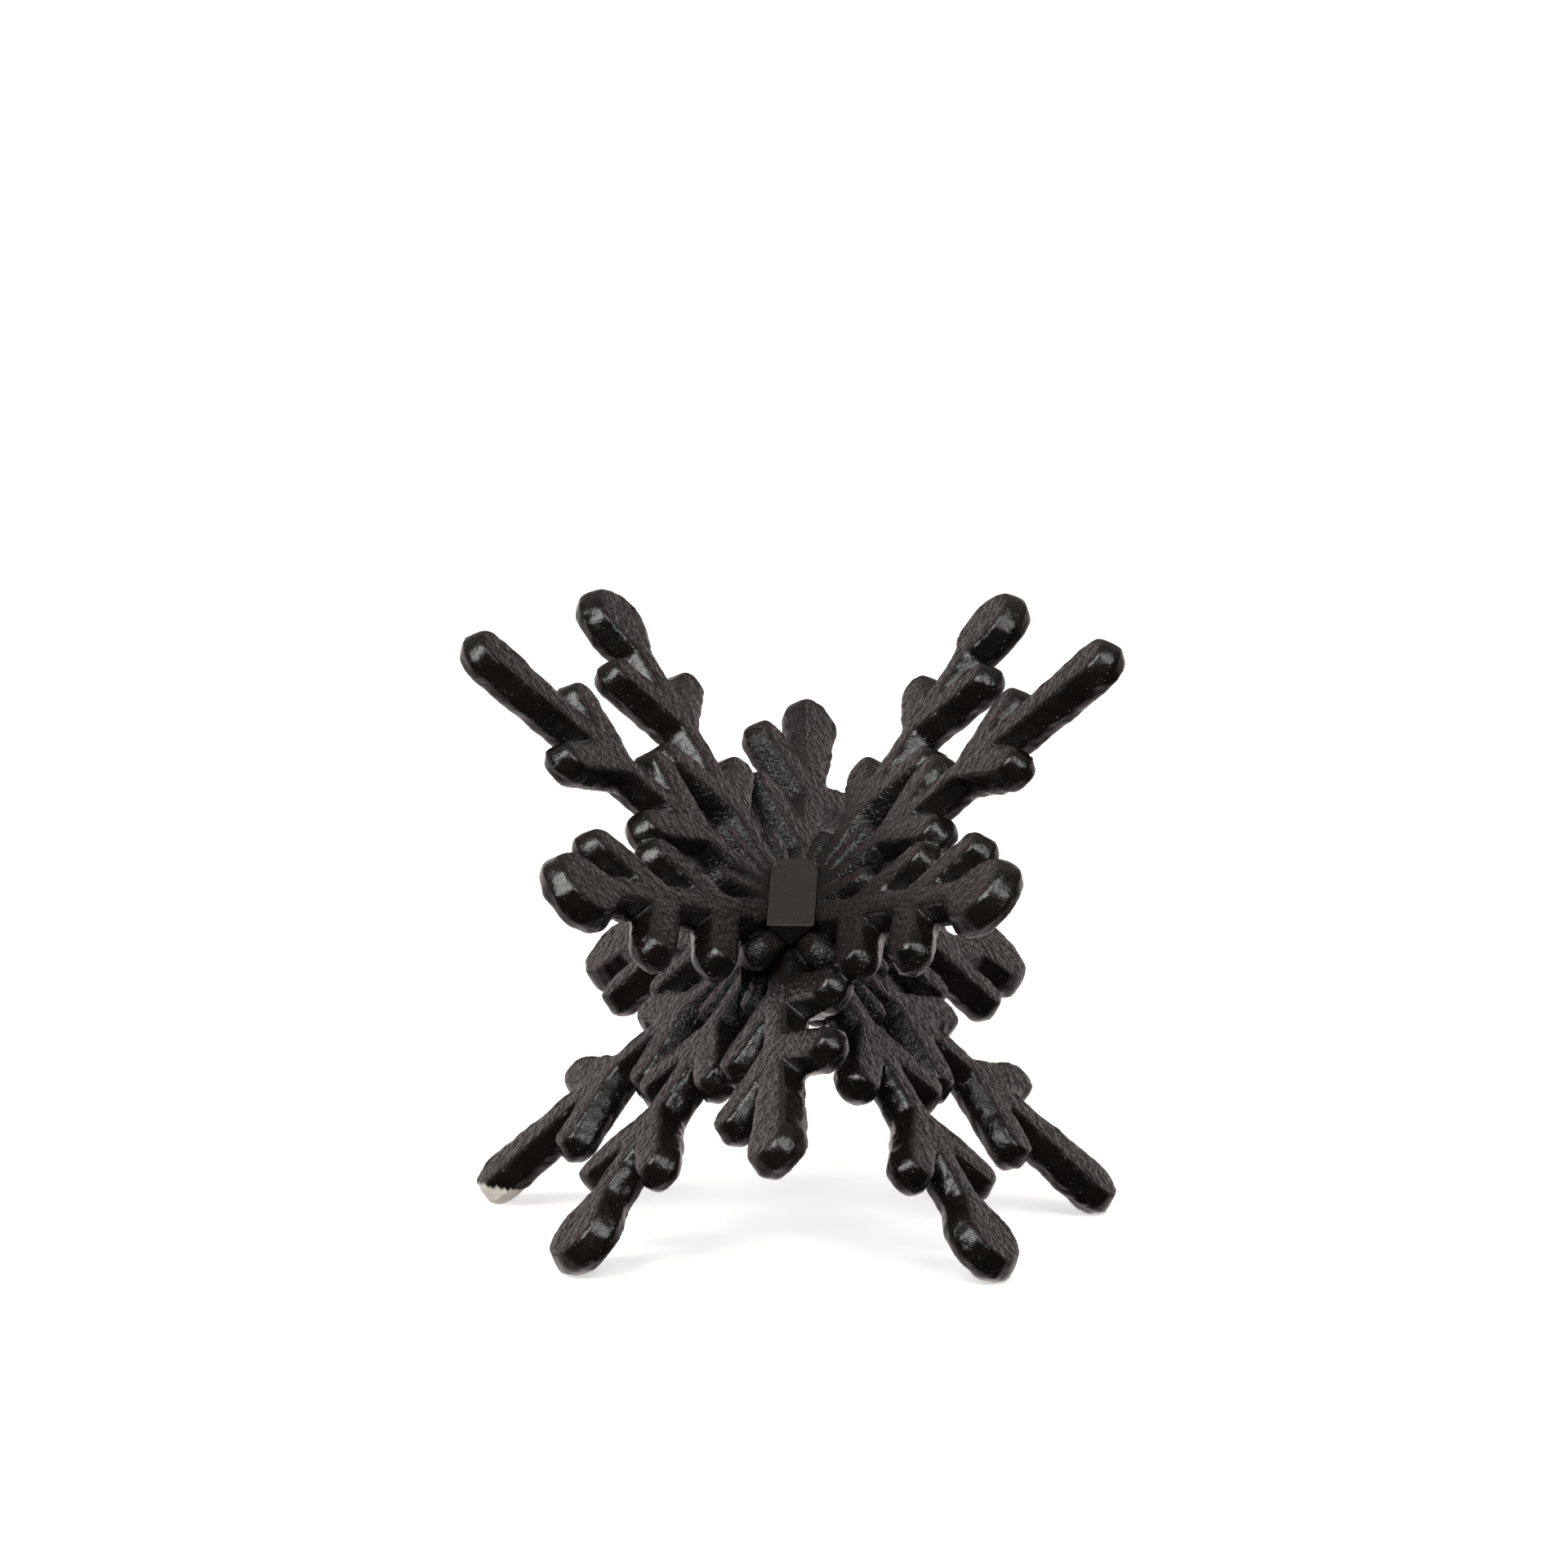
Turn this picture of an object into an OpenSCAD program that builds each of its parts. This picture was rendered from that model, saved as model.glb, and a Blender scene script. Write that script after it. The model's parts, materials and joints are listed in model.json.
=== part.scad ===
// Snow crystal for a desk: two cast plates slotted into each other at right angles,
// with a magnetic hub block in each of the four corners between them.
// The crystal stands on four arm tips. The origin is on the table, under its centre.

/* [Arms] */
// Distance from the centre to the tip of a long blade
blade_reach = 75; // [62:1:92]
// Distance from the centre to the tip of a round club
club_reach = 71.5; // [58:0.5:88]
// Length of a blade, from where it leaves its stem to its tip
blade_len = 30; // [16:1:34]
// Length of a club, from where it leaves its stem to its tip
club_len = 14; // [12:1:24]
// Greatest half-width of a blade
blade_r = 5; // [3.6:0.1:6.4]
// Greatest half-width of a club
club_r = 7; // [4.2:0.1:8]
// Half-width of the stems
stem_r = 3.2; // [2:0.1:3.8]

/* [Side branches] */
// Distance from the centre to the roots of the outer pair
outer_pair_at = 42; // [34:1:48]
// Distance from the centre to the roots of the inner pair
inner_pair_at = 24; // [20:1:32]
// Length from the stem's middle to the centre of a branch's round end
branch_len = 13.5; // [8:0.5:15]
// Angle between a branch and its stem
branch_lean = 48; // [35:1:60]
// Half-width of a branch at its root
branch_root_r = 3.9; // [2:0.1:4.4]
// Half-width of a branch at its round end
branch_end_r = 3.7; // [2.4:0.1:4.6]
// Distance from the centre to the tip of a leaf, which stands between two arms
leaf_reach = 22; // [16:0.5:24]
// Half-width of a leaf
leaf_r = 2.5; // [1.8:0.1:3.2]

/* [Plates] */
// Thickness of each plate
plate_t = 5.8; // [4.8:0.1:7]
// How far the edges stand out at mid thickness, beyond the flat faces
edge_bevel = 1.2; // [0.4:0.1:1.5]
// Radius of the solid web in the middle of each plate
web_r = 9.4; // [8.8:0.1:12]
// Clearance on each side of a plate in the other one's slot
slide_gap = 0.1; // [0.05:0.05:0.3]
// Clearance between the two slot bottoms
seat_gap = 0.1; // [0.05:0.05:0.5]

/* [Hub] */
// Distance from the shared axis to the flat face of a hub block
hub_flat = 8.35; // [7.4:0.05:10]
// How much wider than its flat face a hub block's rear rounding is, in radius
hub_round_extra = 0.5; // [0.2:0.1:2]
// Length of a hub block along the shared axis
hub_len = 22.8; // [16:0.1:26]
// How far the square front end of a hub block lies in front of the centre
hub_front = 13.7; // [8:0.1:16]
// Diameter of the rod magnets
magnet_d = 2; // [1.4:0.1:2.4]
// Radial clearance between a magnet and its bore
magnet_fit = 0.05; // [0.02:0.01:0.1]
// Thickness of the wall in front of a magnet
magnet_wall = 3.6; // [1:0.1:6]
// Depth of a magnet's end below the rounded rear end of its block
magnet_recess = 0.4; // [0.2:0.1:1]

/* [Hidden] */

arm_step = 45;
front = 90;
rear = 270;
edge_fn = 24;
over = 1;
root_at = web_r / 2;

slot_w = plate_t + 2 * slide_gap;

// Section of a hub block: a right triangle whose legs lie against the two plates
block_leg = sqrt(2) * hub_flat - plate_t - slide_gap;
block_face_w = sqrt(2) * block_leg;
inscribed_r = block_leg * (1 - 1 / sqrt(2));
bore_r = magnet_d / 2 + magnet_fit;
magnet_len = hub_len - magnet_wall - magnet_recess;

// The feet are two blades and two clubs, an arm_step apart in each plate. foot_turn is how far the
// direction down to the table is turned, within a plate, from the blade towards the club, so that
// both tips reach equally low: blade_out * cos(t) - club_out * (cos(t) + sin(t)) = club_r - blade_r.
blade_out = blade_reach - blade_r;
club_out = (club_reach - club_r) / sqrt(2);
foot_turn = acos((club_r - blade_r) / norm([blade_out - club_out, club_out]))
    - atan2(club_out, blade_out - club_out);
tilt = atan(tan(foot_turn) / sqrt(2));
in_plate = norm([cos(tilt) / sqrt(2), sin(tilt)]);
across_plate = cos(tilt) / sqrt(2);
centre_h = in_plate * (blade_out * cos(foot_turn) + blade_r - edge_bevel) + across_plate * plate_t / 2;

// The cross frame: x is square to the left-leaning plate, y is square to the right-leaning plate,
// and z runs along their shared axis towards the front.
module in_cross() {
    translate([0, 0, centre_h])
        rotate([tilt, 0, 0])
            rotate([0, -45, 0])
                rotate([90, 0, 0])
                    children();
}

// A disc with both edges bevelled out to its middle
module bevelled_disc(r) {
    for (side = [0, 1])
        mirror([0, 0, side])
            cylinder(h = plate_t / 2, r1 = r, r2 = r - edge_bevel, $fn = edge_fn);
}

// A bar with round bevelled ends, from x = from to x = to
module bar(from, to, r_from, r_to) {
    hull() {
        translate([from, 0, 0]) bevelled_disc(r_from);
        translate([to, 0, 0]) bevelled_disc(r_to);
    }
}

module branch_pair(at) {
    for (side = [-1, 1])
        translate([at, 0, 0])
            rotate([0, 0, side * branch_lean])
                bar(0, branch_len, branch_root_r, branch_end_r);
}

// One arm along x: a stem, its end and two pairs of branches
module arm(reach, end_len, end_r) {
    bar(root_at, reach - end_len, stem_r, stem_r);
    bar(reach - end_len, reach - end_r, stem_r, end_r);
    branch_pair(outer_pair_at);
    branch_pair(inner_pair_at);
}

// A whole plate in x and y, without the arm at the angle open_side and slotted from there
module crystal_plate(open_side) {
    difference() {
        union() {
            bevelled_disc(web_r);
            for (a = [0 : arm_step : 360 - arm_step])
                if (a != open_side)
                    rotate([0, 0, a])
                        if (a % 90 == 0) arm(blade_reach, blade_len, blade_r);
                        else arm(club_reach, club_len, club_r);
            for (a = [arm_step / 2 : arm_step : 360])
                rotate([0, 0, a])
                    bar(root_at, leaf_reach - leaf_r, leaf_r, leaf_r);
        }
        rotate([0, 0, open_side])
            translate([-seat_gap / 2, -slot_w / 2, -plate_t])
                cube([blade_reach, slot_w, 2 * plate_t]);
    }
}

module left_leaning_plate() {
    color([0.17, 0.15, 0.14])
        in_cross()
            rotate([90, 0, 90])
                crystal_plate(front);
}

module right_leaning_plate() {
    color([0.15, 0.14, 0.13])
        in_cross()
            rotate([90, 0, 0])
                crystal_plate(rear);
}

// Puts a piece drawn in the corner between +x and +y into one of the four corners
module in_corner(flip_x, flip_y) {
    in_cross()
        mirror([flip_x, 0, 0])
            mirror([0, flip_y, 0])
                translate([plate_t / 2, plate_t / 2 + slide_gap, 0])
                    children();
}

// Outline of the flat face: square in front, rounded at the rear
module block_outline() {
    round_r = block_face_w / 2 + hub_round_extra;
    round_at = hub_front - hub_len + round_r;
    translate([0, round_at]) circle(r = round_r, $fn = 64);
    translate([-round_r, round_at]) square([2 * round_r, hub_front - round_at]);
}

module hub_block(flip_x, flip_y) {
    color([0.2, 0.195, 0.19])
        in_corner(flip_x, flip_y)
            difference() {
                intersection() {
                    translate([0, 0, hub_front - hub_len - over])
                        linear_extrude(hub_len + over)
                            polygon([[0, 0], [block_leg, 0], [0, block_leg]]);
                    rotate([90, 0, 135])
                        translate([0, 0, -over])
                            linear_extrude(block_leg + over)
                                block_outline();
                }
                translate([inscribed_r, inscribed_r, hub_front - hub_len - over])
                    cylinder(h = hub_len + over - magnet_wall, r = bore_r, $fn = 48);
            }
}

module magnet(flip_x, flip_y) {
    color([0.62, 0.62, 0.64])
        in_corner(flip_x, flip_y)
            translate([inscribed_r, inscribed_r, hub_front - magnet_wall - magnet_len])
                cylinder(h = magnet_len, d = magnet_d, $fn = 48);
}

left_leaning_plate();
right_leaning_plate();
hub_block(0, 0);  // hub_block_top
hub_block(1, 0);  // hub_block_left
hub_block(0, 1);  // hub_block_right
hub_block(1, 1);  // hub_block_bottom
magnet(0, 0);  // magnet_top
magnet(1, 0);  // magnet_left
magnet(0, 1);  // magnet_right
magnet(1, 1);  // magnet_bottom
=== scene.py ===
"""Magnetic snow crystal: two rough black castings slotted together, with hub blocks and magnets.

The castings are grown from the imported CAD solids. Each one is remeshed in the axes of its own plate,
rounded a little, and then given the relief of a painted sand casting. The relief of the flat faces
only goes inwards, the core is left smooth, and no lump leaves the CAD model's box.
Lengths are in metres.
"""
import itertools
import json
import math

import bpy
import numpy as np
from mathutils import Matrix, Vector

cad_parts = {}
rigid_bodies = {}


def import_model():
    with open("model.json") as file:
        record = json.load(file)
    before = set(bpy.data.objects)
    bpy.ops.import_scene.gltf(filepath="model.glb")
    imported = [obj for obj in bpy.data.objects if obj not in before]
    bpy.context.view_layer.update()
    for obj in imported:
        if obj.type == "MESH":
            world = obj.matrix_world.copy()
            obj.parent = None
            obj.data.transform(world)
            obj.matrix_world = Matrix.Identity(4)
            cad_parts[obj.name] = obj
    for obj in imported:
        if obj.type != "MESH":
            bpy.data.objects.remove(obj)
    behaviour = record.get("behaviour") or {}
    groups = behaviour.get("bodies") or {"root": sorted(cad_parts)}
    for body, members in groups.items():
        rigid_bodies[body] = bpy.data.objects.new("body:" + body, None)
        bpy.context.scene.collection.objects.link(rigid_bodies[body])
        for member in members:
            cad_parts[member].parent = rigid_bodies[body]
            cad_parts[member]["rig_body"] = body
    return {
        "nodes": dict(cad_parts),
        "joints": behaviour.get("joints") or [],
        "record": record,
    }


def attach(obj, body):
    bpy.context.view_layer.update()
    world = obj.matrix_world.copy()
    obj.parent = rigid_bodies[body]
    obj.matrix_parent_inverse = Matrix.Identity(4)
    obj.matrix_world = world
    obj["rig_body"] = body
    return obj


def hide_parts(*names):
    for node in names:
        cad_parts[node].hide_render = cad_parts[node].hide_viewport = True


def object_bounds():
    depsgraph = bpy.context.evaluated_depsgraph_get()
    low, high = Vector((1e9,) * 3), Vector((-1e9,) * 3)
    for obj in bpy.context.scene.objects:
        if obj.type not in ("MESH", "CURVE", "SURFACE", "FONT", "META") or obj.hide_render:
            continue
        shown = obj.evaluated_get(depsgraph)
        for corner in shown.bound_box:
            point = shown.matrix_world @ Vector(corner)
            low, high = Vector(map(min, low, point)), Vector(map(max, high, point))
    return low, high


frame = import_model()
cad_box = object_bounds()

MM = 0.001

# Mesh
PLATE_VOXEL = 0.38 * MM
HUB_VOXEL = 0.16 * MM
PLATE_ROUNDING = 14
HUB_ROUNDING = 6
SMOOTH_SHARE = 0.5

# Relief of the plates
GRAIN_PERIOD = 1.5 * MM
GRAIN_DEPTH = 0.32 * MM
EDGE_PAINT = 0.30 * MM
EDGE_LUMP_PERIOD = 3.6 * MM
EDGE_LUMP_HEIGHT = 0.24 * MM
EDGE_RIPPLE_PERIOD = 1.7 * MM
EDGE_RIPPLE_HEIGHT = 0.11 * MM
FLASH_HEIGHT = 0.16 * MM
FLASH_HALF_WIDTH = 0.45 * MM
FLASH_PERIOD = 1.4 * MM
SEAM_CORE, SEAM_REACH = 0.2 * MM, 1.3 * MM
PARTING_SHIFT = -0.75 * MM
PARTING_DRIFT = 0.45 * MM
PARTING_PERIOD = 7 * MM
SMOOTH_CORE_R = 8 * MM
ROUGH_FROM_R = 17 * MM
RADIUS_WANDER = 3 * MM
WANDER_PERIOD = 6 * MM
DULL_TO_R = 14 * MM
GLOSSY_FROM_R = 36 * MM
REAR_ARM_HALF_WIDTH = 14 * MM
FACE_FROM, FACE_TO = 0.78, 0.99

# Relief of the hub blocks
HUB_WAVE_PERIOD = 2.5 * MM
HUB_WAVE_DEPTH = 0.05 * MM
HUB_NOTCH_PERIOD = 0.9 * MM
HUB_NOTCH_DEPTH = 0.45 * MM
HUB_NOTCH_REACH = 1.5 * MM

# Bare metal where the paint has chipped off the front of the left rear foot
CHIP_HEIGHT = 3.7 * MM
CHIP_RAGGED = 0.8 * MM
CHIP_PERIODS = 2.4 * MM, 0.8 * MM
CHIP_EDGE = 0.12 * MM
CHIP_DEPTH = 0.22 * MM
FOOT_FROM_CENTRE = 60 * MM

# Camera
CAMERA_AZIMUTH = -2.16
CAMERA_ELEVATION = 11.0
CAMERA_ROLL = 0.38
CAMERA_DISTANCE = 1.229
CAMERA_LENS = 169.9
CAMERA_SENSOR = 36
AIM_ABOVE = 23.8 * MM
AIM_LEFT = 1.8 * MM

# Floor and light
FLOOR_R = 6.0
FLOOR_SIDES = 96
FLOOR_GLOW = 0.55
FILL_LIGHT = 0.32
LEFT_SOFTBOX = {
    "towards": (-0.42, -0.60, 0.68),
    "half_width": 0.32,
    "half_height": 0.32,
    "brightness": 7.4,
}
RIGHT_SOFTBOX = {
    "towards": (0.40, -0.62, 0.68),
    "half_width": 0.28,
    "half_height": 0.30,
    "brightness": 4.6,
}


# What the frame gives: the shared axis, the plates' directions and the centre


def unit(v):
    v = np.asarray(v, float)
    return v / np.linalg.norm(v)


def read_rows(source, key):
    """One row of three numbers for each vertex."""
    values = np.empty(len(source) * 3, np.float32)
    source.foreach_get(key, values)
    return values.reshape(-1, 3).astype(float)


def read_points(mesh):
    return read_rows(mesh.vertices, "co")


def read_normals(mesh):
    return read_rows(mesh.vertex_normals, "vector")


def cad_points(node):
    """The vertices of a CAD node."""
    return read_points(frame["nodes"][node].data)


def mid_plane(node, normal):
    along = cad_points(node) @ normal
    return (along.min() + along.max()) / 2


def mount_axis(name):
    mounts = {m["name"]: m for m in frame["record"]["mounts"]}
    return unit(mounts[name]["axis"])


ahead = unit(frame["joints"][0]["axis"])
upward = mount_axis("top_hub_face")
sideways = np.cross(upward, ahead)
LEFT_NORMAL = unit(upward - sideways)
RIGHT_NORMAL = unit(upward + sideways)
if LEFT_NORMAL[0] < 0:
    LEFT_NORMAL, RIGHT_NORMAL = RIGHT_NORMAL, LEFT_NORMAL
depth_axis = np.array([0, 1, 0])
centre = np.linalg.solve(
    [LEFT_NORMAL, RIGHT_NORMAL, depth_axis],
    [mid_plane("left_leaning_plate", LEFT_NORMAL), mid_plane("right_leaning_plate", RIGHT_NORMAL), 0],
)


# Noise and masks


def ramp(value, start, end):
    """0 before start, 1 after end, and a smooth step in between."""
    t = np.clip((value - start) / (end - start), 0, 1)
    return t * t * (3 - 2 * t)


def noise(points, period, seed):
    """Smooth gradient noise, about -1 to 1, with lumps about one period apart."""
    rng = np.random.default_rng(seed)
    shuffled = rng.permutation(256)
    gradients = rng.normal(size=(256, 3))
    gradients /= np.linalg.norm(gradients, axis=1)[:, None]
    q = points / period + rng.uniform(0, 100, 3)
    cell = np.floor(q).astype(int)
    part = q - cell
    ease = part**3 * (part * (part * 6 - 15) + 10)
    total = np.zeros(len(points))
    for corner in itertools.product((0, 1), repeat=3):
        at = (cell + corner) & 255
        key = shuffled[(shuffled[(shuffled[at[:, 0]] + at[:, 1]) & 255] + at[:, 2]) & 255]
        weight = np.prod(np.where(corner, ease, 1 - ease), axis=1)
        total += weight * ((part - corner) * gradients[key]).sum(1)
    return np.clip(total * 1.7, -1, 1)


def pits(points, period, seed):
    """0 to 1 noise for relief that only goes inwards."""
    return 0.5 + 0.5 * noise(points, period, seed)


def clipped(points):
    """The points, kept inside the CAD model's box."""
    return np.clip(points, cad_box[0], cad_box[1])


# Mesh building


def copy_in_axes(node, axes, origin, name):
    """A new object with a CAD node's shape, whose own X, Y and Z are the three axes."""
    mesh = frame["nodes"][node].data.copy()
    mesh.name = name
    mesh.materials.clear()
    to_world = Matrix.Translation(Vector(origin)) @ Matrix([*axes]).transposed().to_4x4()
    mesh.transform(to_world.inverted())
    piece = bpy.data.objects.new(name, mesh)
    bpy.context.scene.collection.objects.link(piece)
    return piece, to_world


def remesh(piece, voxel):
    """Replaces the piece's mesh by an even grid of small quads."""
    modifier = piece.modifiers.new("even grid", "REMESH")
    modifier.mode = "VOXEL"
    modifier.voxel_size = voxel
    modifier.use_smooth_shade = True
    graph = bpy.context.evaluated_depsgraph_get()
    mesh = bpy.data.meshes.new_from_object(piece.evaluated_get(graph), depsgraph=graph)
    piece.modifiers.clear()
    old = piece.data
    piece.data = mesh
    bpy.data.meshes.remove(old)
    mesh.name = piece.name


def write_points(mesh, points):
    mesh.vertices.foreach_set("co", points.astype(np.float32).ravel())
    mesh.update()


def relax(mesh, passes):
    """Moves each vertex part of the way to the middle of its neighbours, to round sharp edges."""
    ends = np.empty(len(mesh.edges) * 2, np.int32)
    mesh.edges.foreach_get("vertices", ends)
    a, b = ends.reshape(-1, 2).T
    points = read_points(mesh)
    count = np.bincount(a, minlength=len(points)) + np.bincount(b, minlength=len(points))
    for _ in range(passes):
        total = np.zeros_like(points)
        for axis in range(3):
            total[:, axis] = np.bincount(a, points[b, axis], len(points))
            total[:, axis] += np.bincount(b, points[a, axis], len(points))
        points += SMOOTH_SHARE * (total / count[:, None] - points)
    write_points(mesh, points)


def store(mesh, name, values):
    """Keeps one number per vertex for the material to read."""
    layer = mesh.attributes.new(name, "FLOAT", "POINT")
    layer.data.foreach_set("value", np.asarray(values, np.float32))


# The two plates


def chip_mask(points, placed, seed):
    """1 on the front of the left rear foot, up to a ragged line, and 0 elsewhere."""
    coarse, fine = CHIP_PERIODS
    ragged = CHIP_RAGGED * (noise(placed, coarse, seed) + 0.5 * noise(placed, fine, seed + 1))
    low = 1 - ramp(placed[:, 2] + ragged, CHIP_HEIGHT - CHIP_EDGE, CHIP_HEIGHT + CHIP_EDGE)
    foot = (placed[:, 0] < 0) & (np.abs(points[:, 0]) > FOOT_FROM_CENTRE)
    return low * foot * ramp(points[:, 1] + ragged, -CHIP_EDGE, CHIP_EDGE)


def cast_plate(node, name, normal, seed, material):
    """One cast plate: the CAD shape with grained faces, lumpy edges and a ragged parting line."""
    across = np.cross(ahead, normal)
    axes = (across, ahead, normal)
    piece, to_world = copy_in_axes(node, axes, centre, name)
    half_t = np.abs(np.array([v.co.z for v in piece.data.vertices])).max()
    remesh(piece, PLATE_VOXEL)
    mesh = piece.data
    relax(mesh, PLATE_ROUNDING)

    points = read_points(mesh)
    outward = read_normals(mesh)
    in_plane = points * [1, 1, 0]
    radius = np.linalg.norm(in_plane, axis=1)
    face = ramp(np.abs(outward[:, 2]), FACE_FROM, FACE_TO)
    edge = 1 - face
    wander = RADIUS_WANDER * noise(points, WANDER_PERIOD, seed)
    rough = ramp(radius + wander, SMOOTH_CORE_R, ROUGH_FROM_R)

    grain = GRAIN_DEPTH * (
        0.7 * pits(points, GRAIN_PERIOD, seed + 1) + 0.3 * pits(points, GRAIN_PERIOD / 2, seed + 2)
    )
    lumps = EDGE_LUMP_HEIGHT * noise(points, EDGE_LUMP_PERIOD, seed + 3)
    ripple = EDGE_RIPPLE_HEIGHT * noise(points, EDGE_RIPPLE_PERIOD, seed + 4)
    flash = FLASH_HEIGHT * (1 - ramp(np.abs(points[:, 2]), 0, FLASH_HALF_WIDTH))
    flash *= ramp(noise(points, FLASH_PERIOD, seed + 5), -0.2, 0.7)
    height = edge * rough * (EDGE_PAINT + lumps + ripple + flash) - face * rough * grain

    drift = PARTING_SHIFT + PARTING_DRIFT * noise(in_plane, PARTING_PERIOD, seed + 6)
    drift += 0.3 * PARTING_DRIFT * noise(in_plane, PARTING_PERIOD / 4, seed + 7)
    moved = points + outward * height[:, None]
    moved[:, 2] += drift * edge * rough * (1 - np.abs(points[:, 2]) / half_t).clip(0, 1)
    write_points(mesh, moved)

    mesh.transform(to_world)
    write_points(mesh, clipped(read_points(mesh)))
    store(mesh, "face", face)
    store(mesh, "rough", rough)
    store(mesh, "seam", edge * (1 - ramp(np.abs(points[:, 2]), SEAM_CORE, SEAM_REACH)))
    rear_arm = 1 - ramp(np.abs(points[:, 0]), 0.8 * REAR_ARM_HALF_WIDTH, REAR_ARM_HALF_WIDTH)
    rear_arm *= ramp(-points[:, 1], SMOOTH_CORE_R, ROUGH_FROM_R)
    store(mesh, "glossy", ramp(radius, DULL_TO_R, GLOSSY_FROM_R) * (1 - rear_arm))
    chip = np.zeros(len(points))
    if node == "right_leaning_plate":
        placed = read_points(mesh)
        chip = chip_mask(points, placed, seed + 8)
        write_points(mesh, clipped(placed - read_normals(mesh) * (CHIP_DEPTH * chip)[:, None]))
    store(mesh, "chip", chip)

    mesh.materials.append(material)
    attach(piece, frame["nodes"][node]["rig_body"])
    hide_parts(node)


# The hub blocks and magnets


def hub_block(node, name, seed, material):
    """A smooth block with ragged rear corners, from the CAD shape."""
    piece, to_world = copy_in_axes(node, (LEFT_NORMAL, RIGHT_NORMAL, ahead), centre, name)
    remesh(piece, HUB_VOXEL)
    mesh = piece.data
    relax(mesh, HUB_ROUNDING)
    points = read_points(mesh)
    outward = read_normals(mesh)
    from_axis = np.linalg.norm(points[:, :2], axis=1)
    from_rear = points[:, 2] - points[:, 2].min()
    corner = ramp(from_axis, np.quantile(from_axis, 0.7), from_axis.max())
    corner *= 1 - ramp(from_rear, 2 * HUB_NOTCH_REACH, 4 * HUB_NOTCH_REACH)
    notch = corner * ramp(noise(points, HUB_NOTCH_PERIOD, seed), -0.1, 0.6)
    depth = HUB_WAVE_DEPTH * pits(points, HUB_WAVE_PERIOD, seed + 1) + HUB_NOTCH_DEPTH * notch
    write_points(mesh, points - outward * depth[:, None])
    mesh.transform(to_world)
    # Marks the end faces, which the hub paint darkens as painted shade.
    store(mesh, "end", ramp(np.abs(outward[:, 2]), 0.4, 0.9))
    mesh.materials.append(material)
    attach(piece, frame["nodes"][node]["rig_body"])
    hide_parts(node)


# Materials


class Nodes:
    """A short way to write a node tree."""

    def __init__(self, name):
        self.material = bpy.data.materials.new(name)
        self.material.use_nodes = True
        self.tree = self.material.node_tree
        self.shader = self.tree.nodes["Principled BSDF"]

    def add(self, kind, inputs=(), **settings):
        node = self.tree.nodes.new(kind)
        for key, value in settings.items():
            setattr(node, key, value)
        for key, value in dict(inputs).items():
            self.put(node.inputs[key], value)
        return node

    def put(self, socket, value):
        if isinstance(value, bpy.types.NodeSocket):
            self.tree.links.new(value, socket)
        else:
            socket.default_value = value

    def place(self):
        return self.add("ShaderNodeTexCoord").outputs["Object"]

    def noise(self, period, detail=2.0, roughness=0.5, distortion=0.0):
        """Noise from 0 to 1 with lumps about one period apart."""
        node = self.add(
            "ShaderNodeTexNoise",
            {
                "Vector": self.place(),
                "Scale": 1 / period,
                "Detail": detail,
                "Roughness": roughness,
                "Distortion": distortion,
            },
        )
        return node.outputs["Fac"]

    def attribute(self, name):
        return self.add("ShaderNodeAttribute", attribute_name=name).outputs["Fac"]

    def math(self, operation, a, b=0.0):
        return self.add("ShaderNodeMath", {0: a, 1: b}, operation=operation).outputs[0]

    def between(self, value, low, high, to_low, to_high):
        """A number that goes from to_low to to_high as value goes from low to high."""
        node = self.add(
            "ShaderNodeMapRange",
            {"Value": value, "From Min": low, "From Max": high, "To Min": to_low, "To Max": to_high},
        )
        return node.outputs["Result"]

    def blend(self, share, first, second):
        """A number between two others."""
        node = self.add("ShaderNodeMix", {0: share, 2: first, 3: second}, data_type="FLOAT")
        return node.outputs[0]

    def tint(self, share, first, second):
        """A colour between two others."""
        node = self.add("ShaderNodeMix", {0: share, 6: first, 7: second}, data_type="RGBA")
        return node.outputs[2]

    def bump(self, height, distance, strength, under=None):
        inputs = {"Height": height, "Distance": distance, "Strength": strength}
        if under is not None:
            inputs["Normal"] = under
        return self.add("ShaderNodeBump", inputs).outputs["Normal"]


def colour(red, green, blue):
    return (red, green, blue, 1.0)


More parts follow.
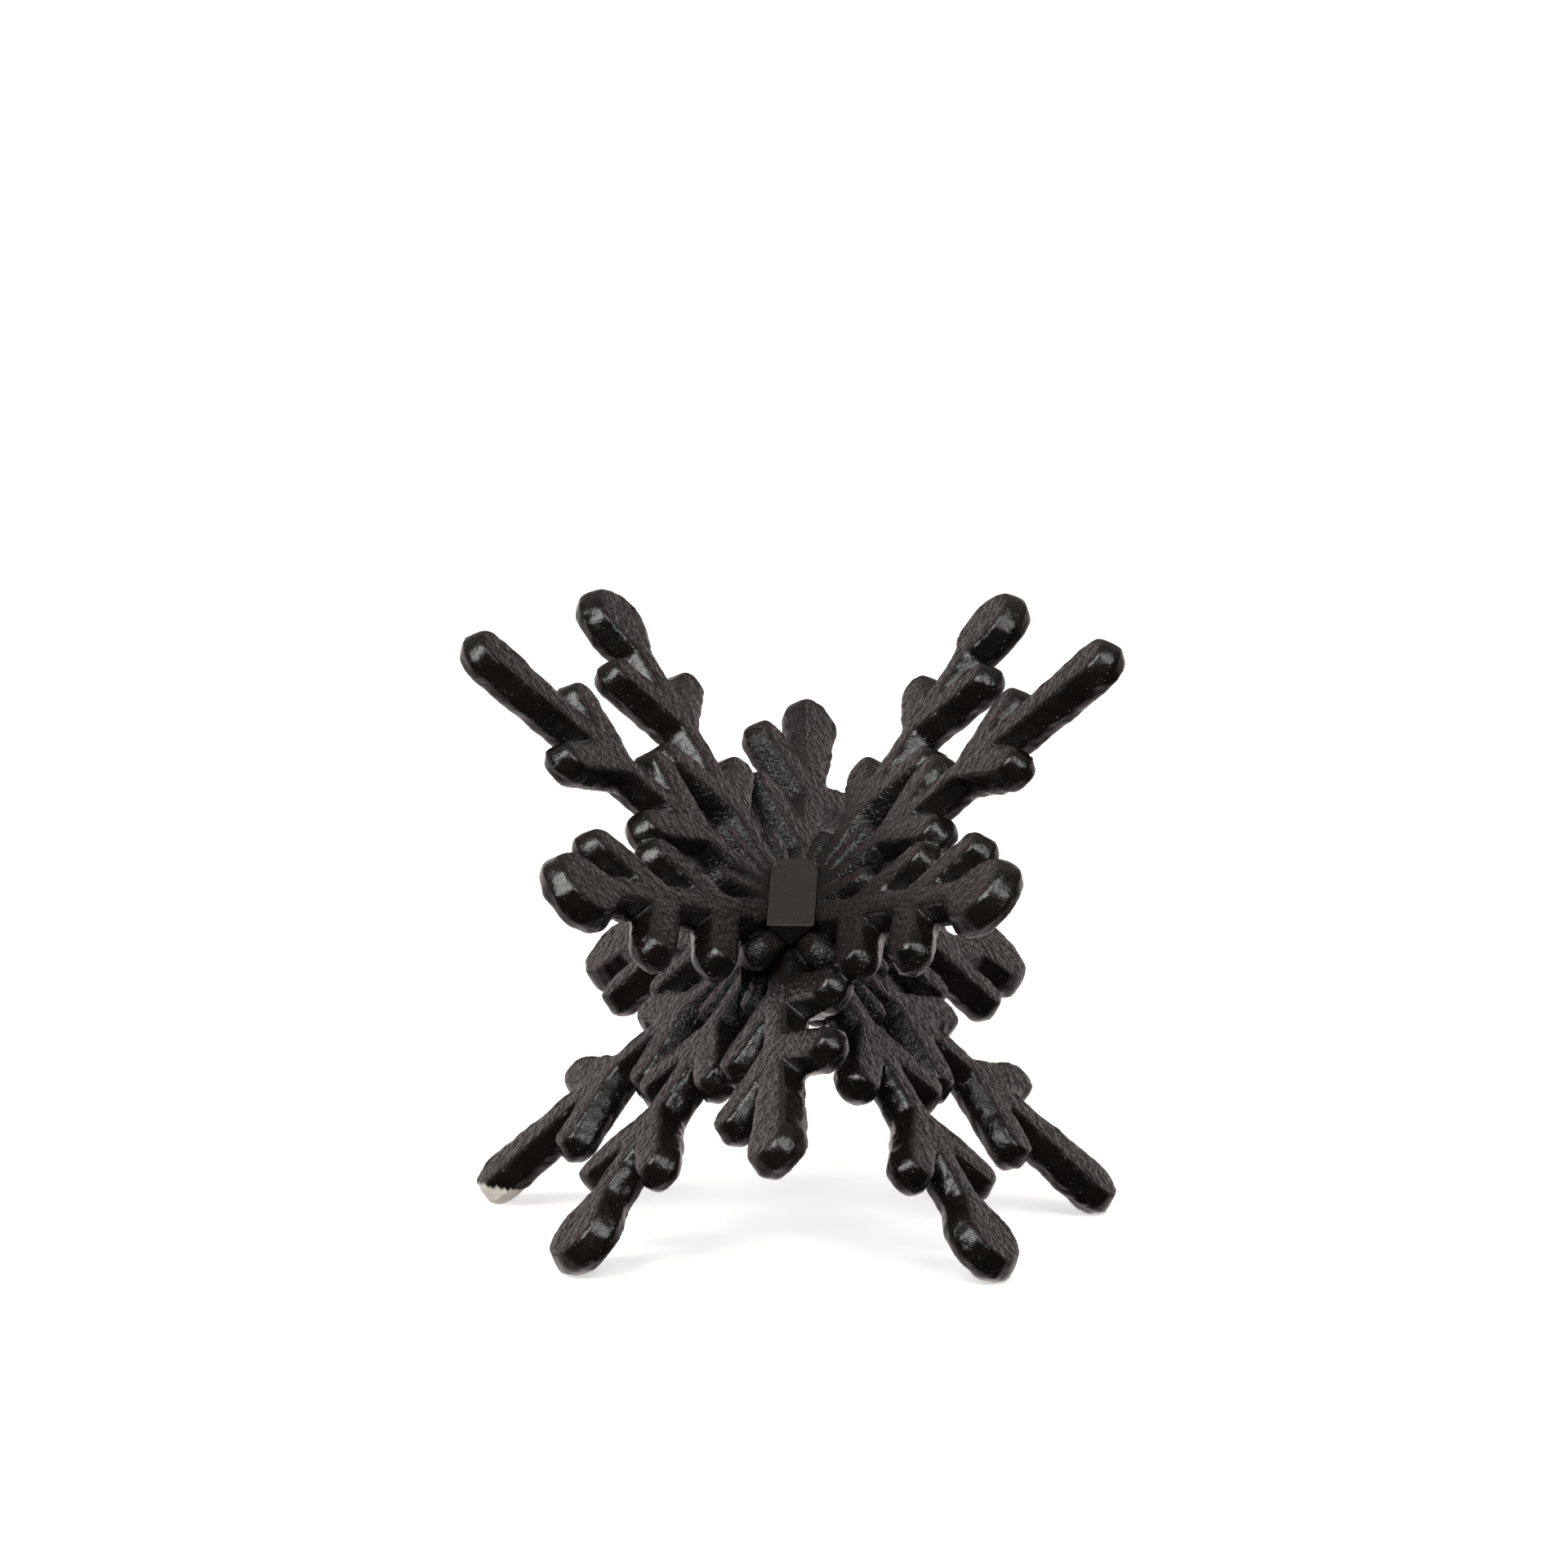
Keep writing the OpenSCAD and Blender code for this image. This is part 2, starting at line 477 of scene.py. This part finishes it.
def casting_paint():
    """Black paint on a rough casting: dull grained faces, glossy edges and a pale chip, with painted
    sheen on the faces and painted shade on the edges and smooth core.
    """
    n = Nodes("casting_paint")
    names = ("face", "rough", "glossy", "seam", "chip")
    face, rough, glossy, seam, chip = (n.attribute(name) for name in names)
    blotch = n.noise(9 * MM, 3)
    grain = n.noise(1.0 * MM, 1.4, 0.45, 0.5)
    wrinkle = n.noise(0.8 * MM, 2, 0.5, 1.2)
    fine = n.noise(0.28 * MM, 2)

    patchy = n.between(blotch, 0.3, 0.7, 0, 1)
    # Painted light: one black paint, lighter on the grained faces as painted sheen and darker on the
    # edges as painted shade; the blotches are real tone.
    painted_sheen_face_colour = n.tint(patchy, colour(0.011, 0.0072, 0.0066), colour(0.019, 0.0125, 0.0112))
    painted_shade_edge_colour = n.tint(patchy, colour(0.004, 0.003, 0.0024), colour(0.009, 0.0064, 0.0052))
    # The darker colour also covers the smooth core around the hub, as painted shade.
    paint = n.tint(n.math("MULTIPLY", face, rough), painted_shade_edge_colour, painted_sheen_face_colour)
    dust = n.math("ADD", n.noise(0.32 * MM, 0), n.math("MULTIPLY", seam, 0.07))
    speck = n.between(dust, 0.83, 0.86, 0, 1)
    paint = n.tint(n.math("MULTIPLY", speck, 0.4), paint, colour(0.30, 0.28, 0.26))
    bare = n.tint(grain, colour(0.62, 0.57, 0.50), colour(0.80, 0.76, 0.69))
    n.put(n.shader.inputs["Base Color"], n.tint(chip, paint, bare))

    edge_gloss = n.between(n.noise(2.4 * MM, 2), 0.3, 0.7, 0.15, 0.28)
    face_gloss = n.between(grain, 0.3, 0.7, 0.36, 0.24)
    core_gloss = n.between(fine, 0.3, 0.7, 0.40, 0.48)
    edge_gloss = n.blend(glossy, 0.34, edge_gloss)
    gloss = n.blend(face, edge_gloss, face_gloss)
    gloss = n.blend(rough, core_gloss, gloss)
    n.put(n.shader.inputs["Roughness"], n.blend(chip, gloss, 0.6))

    crinkle = n.math("MULTIPLY", wrinkle, n.blend(glossy, 0.80, 0.13))
    height = n.blend(face, crinkle, grain)
    height = n.math("MULTIPLY", height, n.blend(rough, 0.30, 1.0))
    relief = n.bump(height, 0.6 * MM, 1.0)
    relief = n.bump(fine, 0.02 * MM, 0.4, relief)
    n.put(n.shader.inputs["Normal"], relief)
    n.shader.inputs["Specular IOR Level"].default_value = 0.5
    return n.material


def hub_paint():
    """Satin black paint on a filed block, with a little dust and painted shade on its end faces."""
    n = Nodes("hub_paint")
    cloud = n.noise(3 * MM, 3)
    paint = n.tint(cloud, colour(0.012, 0.0096, 0.0082), colour(0.018, 0.0148, 0.013))
    # Painted shade: the end faces of the block are darkened.
    paint = n.tint(n.attribute("end"), paint, colour(0.004, 0.003, 0.0025))
    speck = n.between(n.noise(0.24 * MM, 0), 0.82, 0.86, 0, 1)
    paint = n.tint(n.math("MULTIPLY", speck, 0.6), paint, colour(0.34, 0.32, 0.29))
    n.put(n.shader.inputs["Base Color"], paint)
    n.put(n.shader.inputs["Roughness"], n.between(cloud, 0.3, 0.7, 0.40, 0.50))
    n.put(n.shader.inputs["Normal"], n.bump(n.noise(0.5 * MM, 2), 0.04 * MM, 0.4))
    return n.material


def magnet_nickel():
    """Nickel plate with dulled patches."""
    n = Nodes("magnet_nickel")
    cloud = n.noise(1.2 * MM, 3)
    nickel = n.tint(cloud, colour(0.56, 0.55, 0.53), colour(0.68, 0.67, 0.64))
    n.put(n.shader.inputs["Base Color"], nickel)
    n.put(n.shader.inputs["Roughness"], n.between(cloud, 0.3, 0.7, 0.18, 0.34))
    n.put(n.shader.inputs["Normal"], n.bump(n.noise(0.2 * MM, 2), 0.01 * MM, 0.4))
    n.shader.inputs["Metallic"].default_value = 1.0
    return n.material


# Stage


def camera():
    """A long lens a little above the crystal, aimed above its centre."""
    turns = CAMERA_AZIMUTH, CAMERA_ELEVATION, CAMERA_ROLL
    azimuth, elevation, roll = (math.radians(turn) for turn in turns)
    back = Vector((
        -math.sin(azimuth) * math.cos(elevation),
        -math.cos(azimuth) * math.cos(elevation),
        math.sin(elevation),
    ))
    level = Vector((math.cos(azimuth), -math.sin(azimuth), 0))
    above = back.cross(level)
    target = Vector(centre) + above * AIM_ABOVE - level * AIM_LEFT
    location = Vector(centre) + back * CAMERA_DISTANCE
    back = (location - target).normalized()
    level = above.cross(back).normalized()
    above = back.cross(level)
    right = level * math.cos(roll) + above * math.sin(roll)
    data = bpy.data.cameras.new("camera")
    data.lens, data.sensor_width = CAMERA_LENS, CAMERA_SENSOR
    data.clip_start, data.clip_end = 0.01, 50
    seen_from = bpy.data.objects.new("camera", data)
    seen_from.matrix_world = Matrix.Translation(location) @ Matrix(
        [right, back.cross(right), back]
    ).transposed().to_4x4()
    bpy.context.scene.collection.objects.link(seen_from)
    bpy.context.scene.camera = seen_from


def floor():
    mesh = bpy.data.meshes.new("floor")
    around = [2 * math.pi * k / FLOOR_SIDES for k in range(FLOOR_SIDES)]
    rim = [(FLOOR_R * math.cos(a), FLOOR_R * math.sin(a), 0) for a in around]
    mesh.from_pydata(rim, [], [list(range(FLOOR_SIDES))])
    n = Nodes("floor")
    pale = n.tint(n.noise(0.4), colour(0.88, 0.88, 0.88), colour(0.9, 0.9, 0.9))
    n.put(n.shader.inputs["Base Color"], pale)
    n.shader.inputs["Roughness"].default_value = 0.9
    n.shader.inputs["Specular IOR Level"].default_value = 0.1
    n.shader.inputs["Emission Color"].default_value = colour(1, 1, 1)
    n.shader.inputs["Emission Strength"].default_value = FLOOR_GLOW
    mesh.materials.append(n.material)
    piece = bpy.data.objects.new("floor", mesh)
    piece.visible_glossy = piece.visible_diffuse = False
    bpy.context.scene.collection.objects.link(piece)


class World(Nodes):
    """The node tree of the surroundings, with brightness as a function of direction."""

    def __init__(self):
        world = bpy.data.worlds.new("studio")
        bpy.context.scene.world = world
        world.use_nodes = True
        self.tree = world.node_tree
        self.background = self.tree.nodes["Background"]
        self.direction = self.add("ShaderNodeTexCoord").outputs["Generated"]

    def along(self, axis):
        inputs = {0: self.direction, 1: tuple(axis)}
        return self.add("ShaderNodeVectorMath", inputs, operation="DOT_PRODUCT").outputs["Value"]

    def step(self, value, low, high, to_low, to_high):
        node = self.add(
            "ShaderNodeMapRange",
            {"Value": value, "From Min": low, "From Max": high, "To Min": to_low, "To Max": to_high},
            interpolation_type="SMOOTHSTEP",
        )
        return node.outputs["Result"]

    def softbox(self, towards, half_width, half_height, brightness, softness=0.06):
        """A bright rectangle of sky, sized by the tangents of its half angles."""
        towards = Vector(towards).normalized()
        level = Vector((0, 0, 1)).cross(towards).normalized()
        above = towards.cross(level)
        depth = self.math("MAXIMUM", self.along(towards), 0.001)
        light = brightness
        for axis, half in ((level, half_width), (above, half_height)):
            off = self.math("ABSOLUTE", self.math("DIVIDE", self.along(axis), depth))
            light = self.math("MULTIPLY", self.step(off, half - softness, half + softness, 1, 0), light)
        return self.math("MULTIPLY", light, self.step(self.along(towards), 0.05, 0.1, 0, 1))


def studio():
    """Soft light from above and behind, two softboxes above the camera, and a fill for matt paint."""
    w = World()
    backdrop = w.step(w.along((-0.25, 0.97, 0)), -0.3, 0.7, 0.02, 0.90)
    backdrop = w.math("MULTIPLY", backdrop, w.step(w.along((0, 0, 1)), 0.08, 0.36, 1.0, 0.08))
    ceiling = w.step(w.along((0, 0.3, 0.95)), 0.3, 0.9, 0.0, 0.20)
    ground = w.step(w.along((0, 0.25, -0.97)), 0.65, 0.97, 0.0, 0.40)
    light = w.math("ADD", backdrop, ceiling)
    light = w.math("ADD", light, ground)
    for softbox in (LEFT_SOFTBOX, RIGHT_SOFTBOX):
        light = w.math("ADD", light, w.softbox(**softbox))
    path = w.add("ShaderNodeLightPath").outputs
    seen = path["Is Camera Ray"]
    light = w.math("ADD", light, w.math("MULTIPLY", path["Is Diffuse Ray"], FILL_LIGHT))
    cool = w.step(w.along((0, -0.66, 0.75)), 0.2, 0.6, 0, 1)
    warmth = w.tint(cool, colour(1.0, 0.90, 0.87), colour(0.97, 1.0, 0.95))
    w.put(w.background.inputs["Color"], w.tint(seen, warmth, colour(1, 1, 1)))
    w.put(w.background.inputs["Strength"], w.blend(seen, light, 1.0))
    bpy.context.scene.view_settings.view_transform = "Standard"
    bpy.context.scene.view_settings.look = "None"


camera()
studio()
floor()
paint = casting_paint()
cast_plate("left_leaning_plate", "left_plate_casting", LEFT_NORMAL, 11, paint)
cast_plate("right_leaning_plate", "right_plate_casting", RIGHT_NORMAL, 41, paint)
satin = hub_paint()
nickel = magnet_nickel()
for count, side in enumerate(("top", "left", "right", "bottom")):
    hub_block(f"hub_block_{side}", f"hub_{side}_casting", 71 + 10 * count, satin)
    rod = frame["nodes"][f"magnet_{side}"]
    rod.data.materials.clear()
    rod.data.materials.append(nickel)
